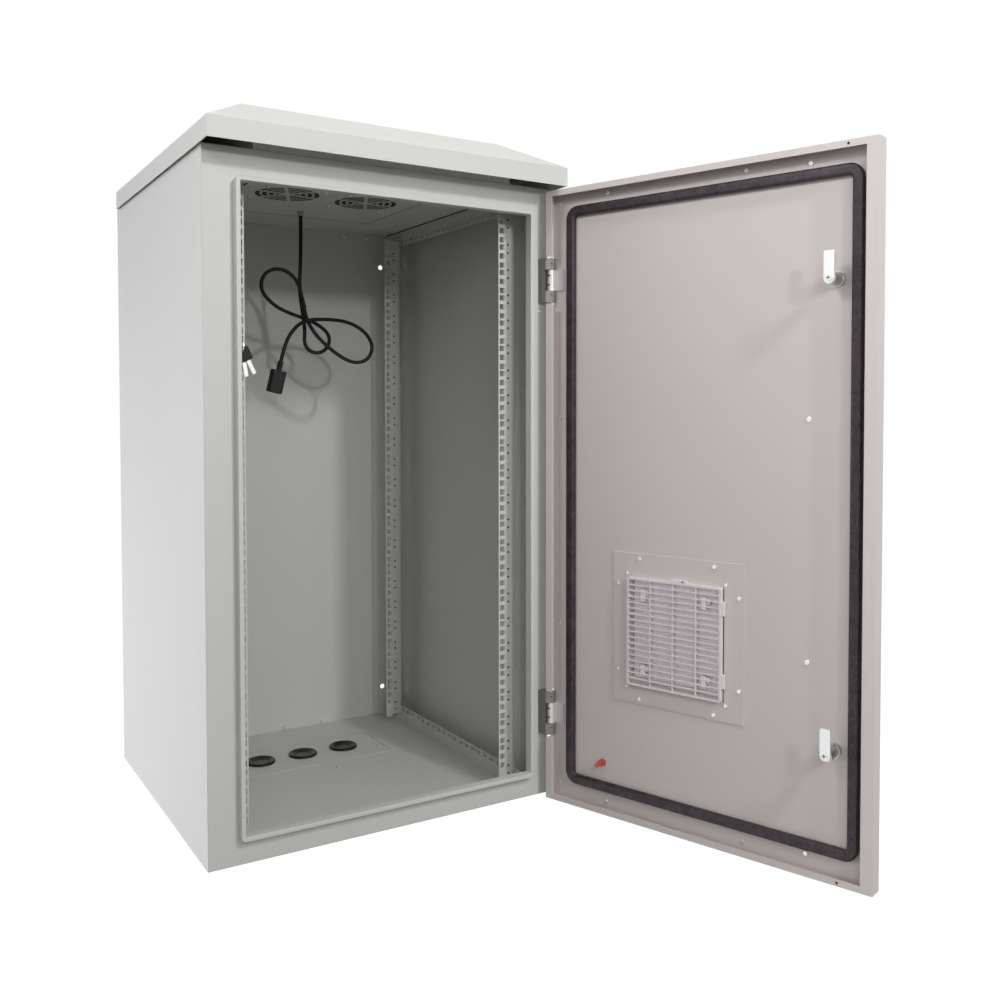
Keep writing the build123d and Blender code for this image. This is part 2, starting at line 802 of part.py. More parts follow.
def ear_section():
    points = [(neck_x, 0), (back_x, 0), (hinge_axis_x + hinge_knuckle, hinge_axis_y),
              (hinge_axis_x, hinge_axis_y - hinge_knuckle), (brow_x, hinge_axis_y - hinge_neck_rise)]
    web = make_face(Polyline(points, close=True))
    return web + Pos(hinge_axis_x, hinge_axis_y) * Circle(hinge_knuckle)


def web_section():
    web_y = hinge_axis_y + hinge_knuckle + hinge_web_gap
    points = [(neck_x, 0), (back_x, 0), (back_x, web_y), (hinge_axis_x - hinge_web_reach, web_y),
              (brow_x, hinge_axis_y + hinge_neck_rise)]
    return make_face(Polyline(points, close=True))


def frame_leaf(z):
    low = z - hinge_height / 2
    high = z + hinge_height / 2
    ear = extrude(ear_section(), amount=ear_height)
    shape = Pos(0, 0, low) * ear
    shape += Pos(0, 0, high - ear_height) * ear
    web_height = hinge_height - ear_height - ear_height
    shape += Pos(0, 0, low + ear_height) * extrude(web_section(), amount=web_height)
    return shape - rod((hinge_axis_x, hinge_axis_y, low), UP, hinge_pin_radius, hinge_height)


def door_leaf(z):
    low = z - hinge_middle / 2
    plate_y = skin_in_y + hinge_plate
    shape = rod((hinge_axis_x, hinge_axis_y, low), UP, hinge_knuckle, hinge_middle)
    for side in (-1, 1):
        groove_low = z + side * hinge_groove_half - hinge_groove_height / 2
        groove = rod((hinge_axis_x, hinge_axis_y, groove_low), UP, hinge_knuckle, hinge_groove_height)
        core_radius = hinge_knuckle - hinge_groove
        core = rod((hinge_axis_x, hinge_axis_y, groove_low), UP, core_radius, hinge_groove_height)
        shape -= groove - core
    shape += block(hinge_axis_x - hinge_door_reach, hinge_axis_x, skin_in_y, plate_y, low, low + hinge_middle)
    shape += block(hinge_axis_x - hinge_knuckle, hinge_axis_x, skin_in_y, hinge_axis_y, low,
                   low + hinge_middle)
    bore = hinge_pin_radius + hinge_run_clearance
    return shape - rod((hinge_axis_x, hinge_axis_y, low), UP, bore, hinge_middle)


pins = []
leaf_screws = []
for name, z in (("upper", hinge_upper_z), ("lower", hinge_lower_z)):
    save(frame_leaf(z), "hinge_frame_leaf_" + name)
    save_door(door_leaf(z), "hinge_door_leaf_" + name)
    pin_low = z - hinge_height / 2 - hinge_pin_extra
    pins.append(rod((hinge_axis_x, hinge_axis_y, pin_low), UP, hinge_pin_radius,
                    hinge_height + hinge_pin_extra * 2))
    for side in (-1, 1):
        screw_z = z + side * hinge_height * hinge_screw_pitch_share / 2
        screw_x = hinge_axis_x - hinge_screw_inset
        screw_at = (screw_x, sheet, screw_z)
        leaf_screws.append(small_head(screw_at, BACK, hinge_screw_radius, hinge_screw_height))
save(group(pins), "hinge_pins")
save(group(leaf_screws), "hinge_frame_screws")


# Cam locks
def lock_housing(z):
    x = door_x(lock_u)
    shape = rod((x, skin_out_y, z), FRONT, lock_flange_radius, lock_flange_height)
    shape += rod((x, skin_out_y, z), BACK, lock_barrel_radius, lock_barrel_end - skin_out_y)
    shape += rod((x, skin_in_y, z), BACK, lock_nut_radius, lock_nut_height)
    bore = lock_plug_radius + lock_plug_gap
    length = lock_barrel_end - skin_out_y + lock_flange_height
    return shape - rod((x, skin_out_y - lock_flange_height, z), BACK, bore, length)


def lock_plug(z):
    x = door_x(lock_u)
    front = skin_out_y - lock_flange_height + lock_plug_inset
    shape = rod((x, front, z), BACK, lock_plug_radius, cam_y - front)
    shape += small_head((x, cam_y + cam_gauge, z), BACK, cam_screw_radius, cam_screw_height)
    shape += rod((x, cam_y, z), BACK, cam_screw_radius / 2, cam_gauge)
    keyway = block(x - lock_keyway_width / 2, x + lock_keyway_width / 2, front, front + lock_keyway_depth,
                   z - lock_keyway_length / 2, z + lock_keyway_length / 2)
    return shape - keyway


def lock_cam(z):
    x = door_x(lock_u)
    shape = block(x - cam_width / 2, x + cam_width / 2, cam_y, cam_y + cam_gauge, z, z + cam_reach)
    tip = shape.edges().filter_by(Axis.Y).group_by(Axis.Z)[-1]
    shape = fillet(tip, cam_tip_round)
    shape += rod((x, cam_y, z), BACK, cam_width / 2, cam_gauge)
    return shape - rod((x, cam_y, z), BACK, cam_screw_radius / 2, cam_gauge)


for name, z in lock_zs.items():
    save_door(lock_housing(z), "lock_housing_" + name)
    save_door(lock_plug(z), "lock_plug_" + name)
    save_door(lock_cam(z), "lock_cam_" + name)

# Fan cord: gland, tube, tie and hanging plug
gland_low = tray_z - gland_hex_height - gland_cap_height
gland = hex_rod((cord_gland_x, cord_gland_y, tray_z), DOWN, gland_hex_radius, gland_hex_height)
gland += rod((cord_gland_x, cord_gland_y, gland_low), UP, gland_cap_radius, gland_cap_height)
gland += rod((cord_gland_x, cord_gland_y, tray_z), UP, gland_thread_radius, sheet + sheet)
gland += hex_rod((cord_gland_x, cord_gland_y, body_height), UP, gland_hex_radius, gland_top_height)
save(gland, "cord_gland")

cord_points = [(cord_gland_x + x, cord_gland_y + y, gland_low + z) for x, y, z in cord_route]


def corner_radii(points):
    radii = []
    for before, here, after in zip(points, points[1:], points[2:]):
        one = [b - a for a, b in zip(before, here)]
        two = [b - a for a, b in zip(here, after)]
        long_one = math.dist(before, here)
        long_two = math.dist(here, after)
        cosine = sum(a * b for a, b in zip(one, two)) / (long_one * long_two)
        half_turn = math.acos(max(-1, min(1, cosine))) / 2
        radii.append(cord_bend_share * min(long_one, long_two) / math.tan(half_turn))
    return radii


cord_radii = corner_radii(cord_points)
print("cord bend radii", [round(r, 1) for r in cord_radii])
cord_path = FilletPolyline(*cord_points, radius=cord_radii)
start_plane = Plane(origin=cord_points[0], z_dir=cord_path % 0)
cord = sweep(start_plane * Circle(cord_radius), path=cord_path)
ideal_volume = math.pi * cord_radius ** 2 * cord_path.length
print("cord length", cord_path.length, "volume share", cord.volume / ideal_volume)
save(cord, "fan_cord")

# Plug built hanging straight down, then set on the end of the cord
end_point = cord_points[-1]
end_dir = cord_path % 1


def plug_shapes():
    relief = rod((0, 0, 0), DOWN, relief_radius, relief_height)
    pitch = relief_height / relief_rings
    for i in range(relief_rings):
        groove = rod((0, 0, -i * pitch - pitch / 2), DOWN, relief_radius, pitch * relief_groove_share)
        relief -= groove - rod((0, 0, 0), DOWN, relief_radius - relief_groove, relief_height)
    low = -relief_height - plug_height
    body = block(-plug_width / 2, plug_width / 2, -plug_thick / 2, plug_thick / 2, low, -relief_height)
    body = fillet(body.edges().filter_by(Axis.Z), plug_corner)
    body -= block(-plug_cavity_width / 2, plug_cavity_width / 2, -plug_cavity_thick / 2,
                  plug_cavity_thick / 2, low, low + plug_cavity_depth)
    pin_spots = [(-plug_pin_pitch, -plug_pin_offset), (0, plug_pin_offset),
                 (plug_pin_pitch, -plug_pin_offset)]
    pins_low = low + plug_cavity_depth - plug_pin_length
    blades = [block(x - plug_pin_thick / 2, x + plug_pin_thick / 2, y - plug_pin_width / 2,
                    y + plug_pin_width / 2, pins_low, low + plug_cavity_depth) for x, y in pin_spots]
    return relief + body, group(blades)


down_plane = Plane(origin=end_point, x_dir=(1, 0, 0), z_dir=(-end_dir.X, -end_dir.Y, -end_dir.Z))
plug, plug_blades = plug_shapes()
save(down_plane.location * plug, "cord_plug")
save(down_plane.location * plug_blades, "plug_pins")

# Cable tie round the two upright strands
tie_z = gland_low - tie_drop


def strand_at(run):
    high = cord_points[run]
    low = cord_points[run + 1]
    way = (high[2] - tie_z) / (high[2] - low[2])
    return high[0] + way * (low[0] - high[0]), high[1] + way * (low[1] - high[1])


strand_a = strand_at(tie_first_index)
strand_b = strand_at(tie_second_index)
tie_inner = cord_radius - tie_bite


def tie_section(radius):
    return make_hull([e for p in (strand_a, strand_b) for e in (Pos(p[0], p[1]) * Circle(radius)).edges()])


tie = extrude(tie_section(tie_inner + tie_gauge) - tie_section(tie_inner), amount=tie_height)
save(Pos(0, 0, tie_z - tie_height / 2) * tie, "cord_tie")

# Keys hanging on the left front rail
hole_heights = sorted(rack_hole_heights(), reverse=True)
web_top = hole_heights[key_hole_index] - rack_hole_side / 2
ring_y = rail_front_y + rail_gauge / 2
ring_inner = ring_radius - ring_wire
ring_z = web_top - math.sqrt(ring_inner ** 2 - (rail_gauge / 2) ** 2) - ring_seat
ring_x = ring_inset - rack_hole_half_spacing
ring = rod((ring_x - ring_gauge / 2, ring_y, ring_z), RIGHT, ring_radius + ring_wire, ring_gauge)
ring -= rod((ring_x - ring_gauge / 2, ring_y, ring_z), RIGHT, ring_inner, ring_gauge)
save(ring, "key_ring")


def key(front_y, lean):
    drop = math.sqrt(ring_radius ** 2 - (ring_y - front_y - key_head_gauge / 2) ** 2)
    eye_z = ring_z - drop
    neck = key_eye_inset - key_head_height
    half = key_head_width / 2
    head = block(-half, half, 0, key_head_gauge, neck, key_eye_inset)
    head = fillet(head.edges().filter_by(Axis.Y), key_head_corner)
    head -= rod((0, 0, 0), BACK, key_eye_radius, key_head_gauge)
    mid = key_head_gauge / 2
    blade = block(-key_blade_width / 2, key_blade_width / 2, mid - key_gauge / 2, mid + key_gauge / 2,
                  neck - key_blade_length, neck)
    socket = block(-key_blade_width / 2, key_blade_width / 2, mid - key_gauge / 2, mid + key_gauge / 2, neck,
                   neck + key_socket_depth)
    place = Pos(ring_x, front_y, eye_z) * Rot(0, lean, 0)
    return place * (head - socket), place * (blade + socket)


front_key = key(rail_front_y - key_front_gap - key_head_gauge - key_head_gauge, -key_lean_far)
rear_key = key(rail_front_y - key_head_gauge, -key_lean_near)
save(group([front_key[0], rear_key[0]]), "key_heads")
save(group([front_key[1], rear_key[1]]), "key_blades")
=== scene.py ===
import json
import math

import bpy
from mathutils import Matrix, Vector


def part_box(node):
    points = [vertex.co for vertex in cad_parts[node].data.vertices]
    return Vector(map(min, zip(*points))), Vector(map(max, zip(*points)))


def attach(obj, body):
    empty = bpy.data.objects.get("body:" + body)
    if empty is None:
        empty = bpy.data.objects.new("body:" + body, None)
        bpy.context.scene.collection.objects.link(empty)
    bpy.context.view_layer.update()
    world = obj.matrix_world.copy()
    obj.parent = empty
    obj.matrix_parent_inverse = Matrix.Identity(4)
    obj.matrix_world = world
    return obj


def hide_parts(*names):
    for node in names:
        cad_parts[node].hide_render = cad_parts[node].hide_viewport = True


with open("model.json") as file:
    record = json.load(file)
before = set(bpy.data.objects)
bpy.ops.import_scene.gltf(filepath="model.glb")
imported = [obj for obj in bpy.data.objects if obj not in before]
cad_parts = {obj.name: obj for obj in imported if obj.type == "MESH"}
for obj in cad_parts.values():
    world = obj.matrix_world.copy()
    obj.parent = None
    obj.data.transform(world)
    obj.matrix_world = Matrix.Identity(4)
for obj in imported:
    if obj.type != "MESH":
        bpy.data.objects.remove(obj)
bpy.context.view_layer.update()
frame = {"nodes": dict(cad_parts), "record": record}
nodes = frame["nodes"]
scene = bpy.context.scene

# Values shared by several sections, in metres and degrees
white = (1, 1, 1, 1)
front_y = -0.300
mark_depth = 0.0001
hinge_x, hinge_y = 0.296, -0.318
door_angle = 107.7
lock_heights = {"upper": 0.869, "lower": 0.190}
lock_x = hinge_x - 0.5205

# Materials
fine_detail, slow_detail = 3.0, 2.0
noise_share = 0.5
tone_range = (0.3, 0.7)
grain_depth = 0.001


def noise(tree, scale, detail_level):
    """A noise texture in object space."""
    coord = tree.nodes.new("ShaderNodeTexCoord")
    texture = tree.nodes.new("ShaderNodeTexNoise")
    texture.inputs["Scale"].default_value = scale
    texture.inputs["Detail"].default_value = detail_level
    tree.links.new(coord.outputs["Object"], texture.inputs["Vector"])
    return texture


def surface(name, color, rough, metallic=0.0, grain=700.0, bump=0.04, shift=0.05, cloud=4.0, spec=0.5):
    """A procedural finish: a fine grain and a slow drift of tone over a base colour."""
    material = bpy.data.materials.new(name)
    material.use_nodes = True
    tree = material.node_tree
    shader = tree.nodes["Principled BSDF"]
    shader.inputs["Roughness"].default_value = rough
    shader.inputs["Metallic"].default_value = metallic
    shader.inputs["Specular IOR Level"].default_value = spec
    fine = noise(tree, grain, fine_detail)
    slow = noise(tree, cloud, slow_detail)
    half = tree.nodes.new("ShaderNodeMath")
    half.operation = "MULTIPLY"
    half.inputs[1].default_value = noise_share
    both = tree.nodes.new("ShaderNodeMath")
    both.operation = "MULTIPLY_ADD"
    both.inputs[1].default_value = noise_share
    ramp = tree.nodes.new("ShaderNodeValToRGB")
    for stop, place, change in zip(ramp.color_ramp.elements, tone_range, (1 - shift, 1 + shift)):
        stop.position = place
        stop.color = [min(1, c * change) for c in color] + [1]
    bumps = tree.nodes.new("ShaderNodeBump")
    bumps.inputs["Strength"].default_value = bump
    bumps.inputs["Distance"].default_value = grain_depth
    link = tree.links.new
    link(slow.outputs["Fac"], half.inputs[0])
    link(fine.outputs["Fac"], both.inputs[0])
    link(half.outputs[0], both.inputs[2])
    link(both.outputs[0], ramp.inputs["Fac"])
    link(ramp.outputs["Color"], shader.inputs["Base Color"])
    link(fine.outputs["Fac"], bumps.inputs["Height"])
    link(bumps.outputs["Normal"], shader.inputs["Normal"])
    return material


finish = {
    "grey_coat": surface("light_grey_coat", (0.60, 0.605, 0.580), 0.50, grain=900, bump=0.06, shift=0.02),
    "plated_steel": surface("plated_steel", (0.78, 0.76, 0.74), 0.26, 0.65, grain=1500, shift=0.08),
    "hinge_zinc": surface("cast_zinc", (0.20, 0.185, 0.17), 0.55, 0.35, grain=1200, shift=0.1),
    "bright_zinc": surface("bright_zinc", (0.80, 0.80, 0.80), 0.30, 0.55, grain=1500, shift=0.04),
    # The black moulding also colours the dark marks added further down: painted shade in holes, recesses
    # and grooves, a painted shadow beside the filter, thin seams, and the dark discs behind the fan grilles
    "black_plastic": surface("black_moulding_and_painted_shade", (0.010, 0.010, 0.011), 0.50, grain=1200, shift=0.15,
                             spec=0.2),
    "foam_gasket": surface("foam_gasket", (0.036, 0.026, 0.031), 0.36, grain=260, bump=0.5, shift=0.75,
                           cloud=70, spec=0.3),
    "black_rubber": surface("black_rubber", (0.006, 0.006, 0.006), 0.22, grain=900, bump=0.02, shift=0.2),
    "cord_sheath": surface("cord_sheath", (0.006, 0.006, 0.006), 0.5, grain=900, shift=0.2, spec=0.2),
    "white_plastic": surface("white_moulding", (0.74, 0.69, 0.71), 0.4, grain=900, shift=0.03),
    "filter_fleece": surface("filter_fleece", (0.93, 0.85, 0.88), 0.95, grain=350, bump=0.5, shift=0.08),
    "grey_plastic": surface("grey_moulding", (0.42, 0.42, 0.41), 0.45, grain=900, shift=0.03),
    "copper": surface("copper", (0.50, 0.10, 0.07), 0.35, 0.5, grain=1200, shift=0.1),
}
door_coat = surface("door_coat", (0.62, 0.578, 0.558), 0.50, grain=900, bump=0.06, shift=0.02)
knuckle_zinc = surface("satin_zinc", (0.62, 0.60, 0.59), 0.40, 0.4, grain=1500, shift=0.05)
lock_zinc = surface("lock_nut_zinc", (0.50, 0.50, 0.50), 0.26, 0.9, grain=1500, shift=0.06)
own_finish = {
    "door_panel": door_coat, "vent_plate": door_coat,
    "hinge_door_leaf_upper": knuckle_zinc, "hinge_door_leaf_lower": knuckle_zinc,
    "lock_housing_upper": lock_zinc, "lock_housing_lower": lock_zinc,
}
slots = {row["node"]: row["material_slot"] for row in frame["record"]["subparts"]}
for name, piece in nodes.items():
    piece.data.materials.clear()
    piece.data.materials.append(own_finish.get(name, finish[slots[name]]))

# Rounded edges: the loaded faces are joined first, so that the edges between them can be rounded
join_distance = 0.00001
sharp_angle = 40


def soften(names, width, segments):
    for name in names:
        join = nodes[name].modifiers.new("join", "WELD")
        join.merge_threshold = join_distance
        bevel = nodes[name].modifiers.new("edge", "BEVEL")
        bevel.width = width
        bevel.segments = segments
        bevel.limit_method = "ANGLE"
        bevel.angle_limit = math.radians(sharp_angle)


screw_heads = ["fan_screws", "gland_plate_screws", "vent_plate_screws", "filter_screws", "door_rivets"]
soften(screw_heads, width=0.0011, segments=3)
soften(["lock_cam_upper", "lock_cam_lower"], width=0.0005, segments=2)
soften(["key_heads"], width=0.0008, segments=2)
soften(["door_gasket"], width=0.0032, segments=4)

# Added details: those on the door are built on the closed door and turned with it
hinge = Vector((hinge_x, hinge_y, 0))
turned = Matrix.Rotation(math.radians(door_angle), 4, "Z")
opened = Matrix.Translation(hinge) @ turned @ Matrix.Translation(-hinge)
detail_bevel_segments = 2


def detail(name, verts, faces, slot, body, turn=None):
    mesh = bpy.data.meshes.new(name)
    mesh.from_pydata(verts, [], faces)
    mesh.materials.append(finish[slot])
    piece = bpy.data.objects.new(name, mesh)
    scene.collection.objects.link(piece)
    if turn is not None:
        mesh.transform(turn)
    mesh.update()
    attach(piece, body)
    return piece


def boxes(name, spans, slot, body, turn=None, round_edge=0):
    """Boxes in one piece, each given by its two limits in x, in y and in z."""
    verts, faces = [], []
    for x0, x1, y0, y1, z0, z1 in spans:
        n = len(verts)
        verts += [(x, y, z) for z in (z0, z1) for y in (y0, y1) for x in (x0, x1)]
        faces += [[n + i for i in face] for face in (
            (0, 2, 3, 1), (4, 5, 7, 6), (0, 1, 5, 4), (1, 3, 7, 5), (3, 2, 6, 7), (2, 0, 4, 6))]
    piece = detail(name, verts, faces, slot, body, turn)
    if round_edge:
        bevel = piece.modifiers.new("edge", "BEVEL")
        bevel.width = round_edge
        bevel.segments = detail_bevel_segments


def discs(name, centres, along, radius, height, slot, body, turn=None, sides=16):
    """Short round prisms standing on their centres and rising along an axis."""
    axis = Vector(along)
    side = axis.orthogonal().normalized()
    other = axis.cross(side)
    verts, faces = [], []
    for centre in centres:
        n = len(verts)
        for lift in (0, height):
            for i in range(sides):
                angle = 2 * math.pi * i / sides
                ring = side * math.cos(angle) + other * math.sin(angle)
                verts.append(Vector(centre) + ring * radius + axis * lift)
        faces.append([n + i for i in reversed(range(sides))])
        faces.append([n + sides + i for i in range(sides)])
        for i in range(sides):
            after = (i + 1) % sides
            faces.append((n + i, n + after, n + sides + after, n + sides + i))
    detail(name, verts, faces, slot, body, turn)


# Small round holes beside the square ones in the rack rails, drawn as dark marks: painted shade in the
# holes
rack_unit = 0.04445
rack_units = 22
rack_middle = 0.531
rack_low = rack_middle - rack_units / 2 * rack_unit
hole_inset = 0.0125
hole_face_depth = 0.0100
hole_pair_drop = 0.014
rail_end_margin = 0.004
rail_hole_radius = 0.0019
rail_dots = []
for rail in ("front_rail_left", "front_rail_right", "rear_rail_left", "rear_rail_right"):
    low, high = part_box(rail)
    strip_x = high[0] - hole_inset if low[0] > 0 else low[0] + hole_inset
    for i in range(rack_units + 1):
        for drop in (0, hole_pair_drop):
            z = rack_low + i * rack_unit - drop
            if low[2] + rail_end_margin < z < high[2] - rail_end_margin:
                rail_dots.append((strip_x, low[1] + hole_face_depth, z))
discs("rail_small_hole_shade", rail_dots, (0, -1, 0), rail_hole_radius, mark_depth, "black_plastic", "cabinet")

# Ceiling: a thin dark disc behind each fan grille, which darkens its slots, and the seams of the tray and
# the side walls
fan_x, fan_y = 0.075, -0.025
dark_disc_z, dark_disc_radius, dark_disc_depth, dark_disc_sides = 1.0672, 0.0566, 0.0003, 48
discs("fan_grille_dark_disc", [(-fan_x, fan_y, dark_disc_z), (fan_x, fan_y, dark_disc_z)], (0, 0, 1), dark_disc_radius, dark_disc_depth,
      "black_plastic", "cabinet", sides=dark_disc_sides)
tray_seam_x, tray_seam_half = 0.1635, 0.0007
tray_front_y, tray_back_y = -0.110, 0.168
tray_back_seam_y, tray_back_half_x = 0.1685, 0.163
tray_seam_z = (1.0668, 1.0686)
wall_seam_x, wall_seam_half = 0.2628, 0.0002
wall_seam_y, wall_seam_z = (-0.269, 0.289), (1.0662, 1.0684)
tray_seams = [
    (side * tray_seam_x - tray_seam_half, side * tray_seam_x + tray_seam_half,
     tray_front_y, tray_back_y, *tray_seam_z) for side in (1, -1)]
tray_back_seam = (-tray_back_half_x, tray_back_half_x, tray_back_seam_y - tray_seam_half,
                  tray_back_seam_y + tray_seam_half, *tray_seam_z)
wall_seams = [
    (side * wall_seam_x - wall_seam_half, side * wall_seam_x + wall_seam_half, *wall_seam_y, *wall_seam_z)
    for side in (1, -1)]
boxes("ceiling_seams", tray_seams + [tray_back_seam] + wall_seams, "black_plastic", "cabinet")

# Floor: the seams of the gland plate and a small screw
floor_top = 0.0015
plate_half_x, plate_back_y, plate_seam_front_y = 0.158, 0.190, 0.055
plate_seam_width, plate_seam_height = 0.0012, 0.0002
plate_seam_z = (floor_top, floor_top + plate_seam_height)
plate_outer_x = plate_half_x + plate_seam_width
boxes("floor_seams", [
    (-plate_half_x, plate_outer_x, plate_back_y, plate_back_y + plate_seam_width, *plate_seam_z),
    (plate_half_x, plate_outer_x, plate_seam_front_y, plate_back_y, *plate_seam_z)],
    "black_plastic", "cabinet")

# Bolt heads on the back wall, two near the ceiling and two near the floor
wall_y = 0.2985
upper_bolts_x, upper_bolts_z = (0.165, 0.216), 1.060
lower_bolts_x, lower_bolts_z = (0.023, 0.105), 0.009
bolt_radius, bolt_height, bolt_sides = 0.0042, 0.005, 6
bolts = [(x, wall_y, upper_bolts_z) for x in upper_bolts_x]
bolts += [(x, wall_y, lower_bolts_z) for x in lower_bolts_x]
discs("back_wall_bolts", bolts, (0, -1, 0), bolt_radius, bolt_height, "plated_steel", "cabinet",
      sides=bolt_sides)
floor_screw_x, floor_screw_y = 0.029, 0.02
floor_screw_radius, floor_screw_height = 0.0016, 0.0006
discs("floor_screw", [(floor_screw_x, floor_screw_y, floor_top)], (0, 0, 1), floor_screw_radius,
      floor_screw_height, "black_rubber", "cabinet")

# Filter on the door: fixing bosses, snap lugs and the clip on top, placed from the filter's centre
filter_x, filter_y, filter_z = 0.046, -0.324, 0.3165
boss_u, boss_v = 0.057, 0.062
boss_half_x, boss_half_z, boss_rise = 0.0045, 0.010, 0.0072
tab_x, tab_z, tab_rise = (-0.011, -0.0055), (-0.001, 0.008), 0.0068
boss_hole_places = ((0, 0.005), (-0.0005, -0.0055))
boss_hole_radius, boss_edge = 0.0019, 0.0008
lug_x, lug_z, lug_rise, lug_edge = (-0.0925, -0.0880), (0.046, 0.068), 0.0060, 0.0006
clip_x, clip_z, clip_rise = (-0.025, 0.005), (0.0895, 0.0940), 0.0066
clip_hole_x, clip_hole_z, clip_hole_radius = -0.018, 0.0917, 0.0017
gap_x, gap_half_z, gap_rise = (-0.0896, -0.0881), 0.089, 0.0003


def on_filter(left, right, rise, low, high):
    """The limits of a box standing on the vent plate."""
    return (filter_x + left, filter_x + right, filter_y, filter_y + rise, filter_z + low, filter_z + high)


bosses, boss_holes = [], []
for u in (-boss_u, boss_u):
    for v in (-boss_v, boss_v):
        bosses.append(on_filter(u - boss_half_x, u + boss_half_x, boss_rise,
                                v - boss_half_z, v + boss_half_z))
        bosses.append(on_filter(u + tab_x[0], u + tab_x[1], tab_rise, v + tab_z[0], v + tab_z[1]))
        for hole_x, hole_z in boss_hole_places:
            boss_holes.append((filter_x + u + hole_x, filter_y + boss_rise, filter_z + v + hole_z))
boxes("filter_bosses", bosses, "white_plastic", "door", opened, boss_edge)
discs("filter_boss_holes", boss_holes, (0, 1, 0), boss_hole_radius, mark_depth,
      "plated_steel", "door", opened)
boxes("filter_lugs", [
    on_filter(*lug_x, lug_rise, lug_z[0], lug_z[1]),
    on_filter(*lug_x, lug_rise, -lug_z[1], -lug_z[0]),
    on_filter(*clip_x, clip_rise, *clip_z)], "white_plastic", "door", opened, lug_edge)
# The clip's hole is a black disc: painted shade in the hole
clip_hole = (filter_x + clip_hole_x, filter_y + clip_rise, filter_z + clip_hole_z)
discs("filter_clip_hole_shade", [clip_hole], (0, 1, 0), clip_hole_radius, mark_depth,
      "black_plastic", "door", opened)
boxes("filter_shadow_gap", [on_filter(*gap_x, gap_rise, -gap_half_z, gap_half_z)],
      "black_plastic", "door", opened)

# Cross recesses in the cam screws, drawn as black marks: painted shade in the recesses
cam_screw_y = front_y + 0.0115
cross_arm, cross_half = 0.0030, 0.0006
for lock, z in lock_heights.items():
    cross_y = (cam_screw_y, cam_screw_y + mark_depth)
    boxes("cam_screw_cross_shade_" + lock, [
        (lock_x - cross_arm, lock_x + cross_arm, *cross_y, z - cross_half, z + cross_half),
        (lock_x - cross_half, lock_x + cross_half, *cross_y, z - cross_arm, z + cross_arm)],
        "black_plastic", "lock_" + lock, opened)

# Grooves round the hinge knuckles, on the side that shows, drawn as thin black arcs: painted shade in the
# slots and grooves
groove_steps = 10
groove_first_angle = -195
groove_radius, groove_depth = 0.00706, 0.0003


def arcs(name, levels, body, last_angle, height):
    verts, faces = [], []
    for z in levels:
        n = len(verts)
        for i in range(groove_steps + 1):
            share = i / groove_steps
            angle = math.radians(groove_first_angle + (last_angle - groove_first_angle) * share)
            for r in (groove_radius - groove_depth, groove_radius):
                for level in (z - height / 2, z + height / 2):
                    verts.append((hinge_x + r * math.cos(angle), hinge_y + r * math.sin(angle), level))
        for i in range(groove_steps):
            a, b = n + 4 * i, n + 4 * i + 4
            faces += [(a + 2, b + 2, b + 3, a + 3), (a, a + 1, b + 1, b)]
            faces += [(a + 1, a + 3, b + 3, b + 1), (a, b, b + 2, a + 2)]
        end = n + 4 * groove_steps
        faces += [(n, n + 2, n + 3, n + 1), (end, end + 1, end + 3, end + 2)]
    detail(name, verts, faces, "black_plastic", body)


slot_offsets, slot_last_angle, slot_height = (0.0085, -0.0075), -140, 0.0022
groove_offsets, groove_last_angle, groove_height = (0.0293, -0.0250), -105, 0.0016
for place in ("upper", "lower"):
    low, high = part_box("hinge_door_leaf_" + place)
    middle = (low[2] + high[2]) / 2
    slot_levels = [middle + offset for offset in slot_offsets]
    groove_levels = [middle + offset for offset in groove_offsets]
    arcs("knuckle_slot_shade_" + place, slot_levels, "door", slot_last_angle, slot_height)
    arcs("leaf_groove_shade_" + place, groove_levels, "cabinet", groove_last_angle, groove_height)

# Small holes in the door's folded edges, drawn as black discs: painted shade in the holes
edge_hole_y = -0.303
edge_hole_radius = 0.0021
edge_holes = [(-0.2466, edge_hole_y, 1.0550), (-0.2390, edge_hole_y, 0.0065)]
discs("door_edge_hole_shade", edge_holes, (0, 1, 0), edge_hole_radius, mark_depth,
      "black_plastic", "door", opened)

# Fan cord: the route of the tube in the frame, from the gland to the plug, in millimetres from the gland
millimetres_per_metre = 1000
cord_radius = 0.0035
gland = Vector((0.0, 0.114, 1.058))
cord_route = [
    (0, 0, 0), (0, 0, -42), (-1, 0, -92), (-4, 0, -142), (3, 0, -188), (7, -1, -222), (4, -2, -248),
    (19, -3, -264), (41, -5, -263), (55, -7, -246), (52, -9, -224), (20, -11, -203), (-24, -13, -192),
    (-62, -15, -176), (-88, -17, -147), (-78, -19, -114), (-45, -20, -105), (-16, -22, -125),
    (-6, -23, -160), (2, -24, -205), (24, -26, -236), (54, -28, -262), (92, -30, -284), (125, -32, -278),
    (137, -33, -248), (117, -34, -219), (80, -35, -202), (34, -36, -200), (-8, -36, -204), (-33, -36, -226),
    (-47, -36, -255), (-54, -36, -284)]
curve = bpy.data.curves.new("fan_cord_sheath", "CURVE")
curve.dimensions = "3D"
curve.bevel_depth = cord_radius
curve.bevel_resolution = 5
curve.resolution_u = 8
spline = curve.splines.new("NURBS")
spline.points.add(len(cord_route) - 1)
for point, offset in zip(spline.points, cord_route):
    point.co = (*(gland + Vector(offset) / millimetres_per_metre), 1)
spline.order_u = 3
spline.use_endpoint_u = True
cord = bpy.data.objects.new("fan_cord_sheath", curve)
scene.collection.objects.link(cord)
curve.materials.append(finish["cord_sheath"])
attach(cord, "cabinet")
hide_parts("fan_cord")


